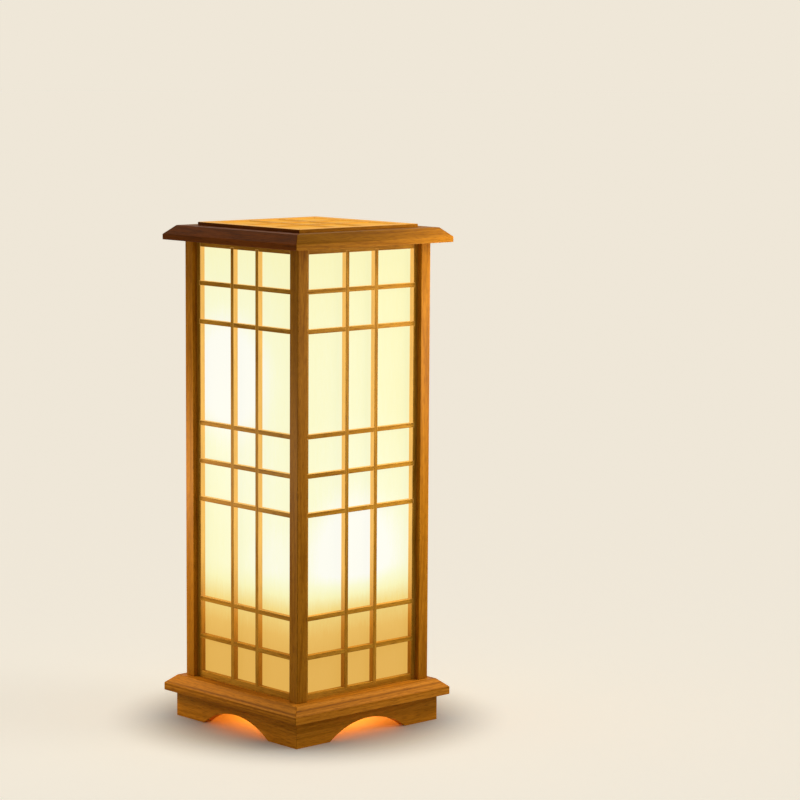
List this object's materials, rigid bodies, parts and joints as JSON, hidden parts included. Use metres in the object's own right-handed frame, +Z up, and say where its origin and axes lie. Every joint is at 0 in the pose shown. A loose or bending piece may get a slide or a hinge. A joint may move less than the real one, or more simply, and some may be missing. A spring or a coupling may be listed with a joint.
{
  "type": "andon lamp",
  "caption": "Square wooden andon lamp: lattice and paper panels between corner posts, arched base, overhanging cap with a lift-off lattice lid.",
  "frame": {"origin": "centre of the footprint, on the surface the lamp stands on", "axes": "+Z up, -Y the front; the cord leaves under the back arch at +Y"},
  "size_m": [0.184, 0.184, 0.45],
  "materials": {
    "frame_wood": "satin varnish",
    "base_wood": "satin varnish",
    "lattice_wood": "satin varnish",
    "inner_wood": "bare",
    "paper": "matte",
    "holder_ceramic": "glazed",
    "brass": "plain",
    "bulb_cap_metal": "satin",
    "bulb_glass": "frosted",
    "wire": "moulded",
    "fittings": "moulded",
    "screw_steel": "plain"
  },
  "bodies": {
    "frame": {"skirt_front": "base_wood", "base_rail_front": "base_wood", "cap_rail_front": "frame_wood", "panel_front_stiles": "lattice_wood", "panel_front_rails": "lattice_wood", "panel_front_muntins": "lattice_wood", "panel_front_bars": "lattice_wood", "panel_front_paper": "paper", "skirt_right": "base_wood", "base_rail_right": "base_wood", "cap_rail_right": "frame_wood", "panel_right_stiles": "lattice_wood", "panel_right_rails": "lattice_wood", "panel_right_muntins": "lattice_wood", "panel_right_bars": "lattice_wood", "panel_right_paper": "paper", "skirt_back": "base_wood", "base_rail_back": "base_wood", "cap_rail_back": "frame_wood", "panel_back_stiles": "lattice_wood", "panel_back_rails": "lattice_wood", "panel_back_muntins": "lattice_wood", "panel_back_bars": "lattice_wood", "panel_back_paper": "paper", "skirt_left": "base_wood", "base_rail_left": "base_wood", "cap_rail_left": "frame_wood", "panel_left_stiles": "lattice_wood", "panel_left_rails": "lattice_wood", "panel_left_muntins": "lattice_wood", "panel_left_bars": "lattice_wood", "panel_left_paper": "paper", "post_front_left": "frame_wood", "post_front_right": "frame_wood", "post_back_left": "frame_wood", "post_back_right": "frame_wood", "post_dowels": "inner_wood", "corner_blocks": "inner_wood", "base_board": "inner_wood", "riser": "inner_wood", "riser_plate": "inner_wood", "lower_holder": "holder_ceramic", "upper_holder": "holder_ceramic", "holder_sleeves": "brass", "holder_contacts": "brass", "terminal_block": "fittings", "cord_gland": "fittings", "lead_clips": "fittings", "upper_lead": "wire", "lower_lead": "wire", "wood_screws": "screw_steel"},
    "lid": {"lid_rails": "frame_wood", "lid_cleats": "inner_wood", "lid_bars_x": "lattice_wood", "lid_bars_y": "lattice_wood", "lid_paper": "paper"},
    "lower_bulb": {"lower_bulb_cap": "bulb_cap_metal", "lower_bulb_glass": "bulb_glass"},
    "upper_bulb": {"upper_bulb_cap": "bulb_cap_metal", "upper_bulb_glass": "bulb_glass"}
  },
  "joints": [
    {"name": "lid_lift", "type": "slide", "parent": "frame", "child": "lid", "axis": [0, 0, 1], "range_m": [0, 0.06]},
    {"name": "lower_bulb_turn", "type": "hinge", "parent": "frame", "child": "lower_bulb", "pos_m": [0.006, -0.014, 0.082], "axis": [0, 0, 1], "range_deg": [0, 900]},
    {"name": "upper_bulb_turn", "type": "hinge", "parent": "frame", "child": "upper_bulb", "pos_m": [-0.028, 0.028, 0.261], "axis": [0, 0, 1], "range_deg": [0, 900]}
  ]
}
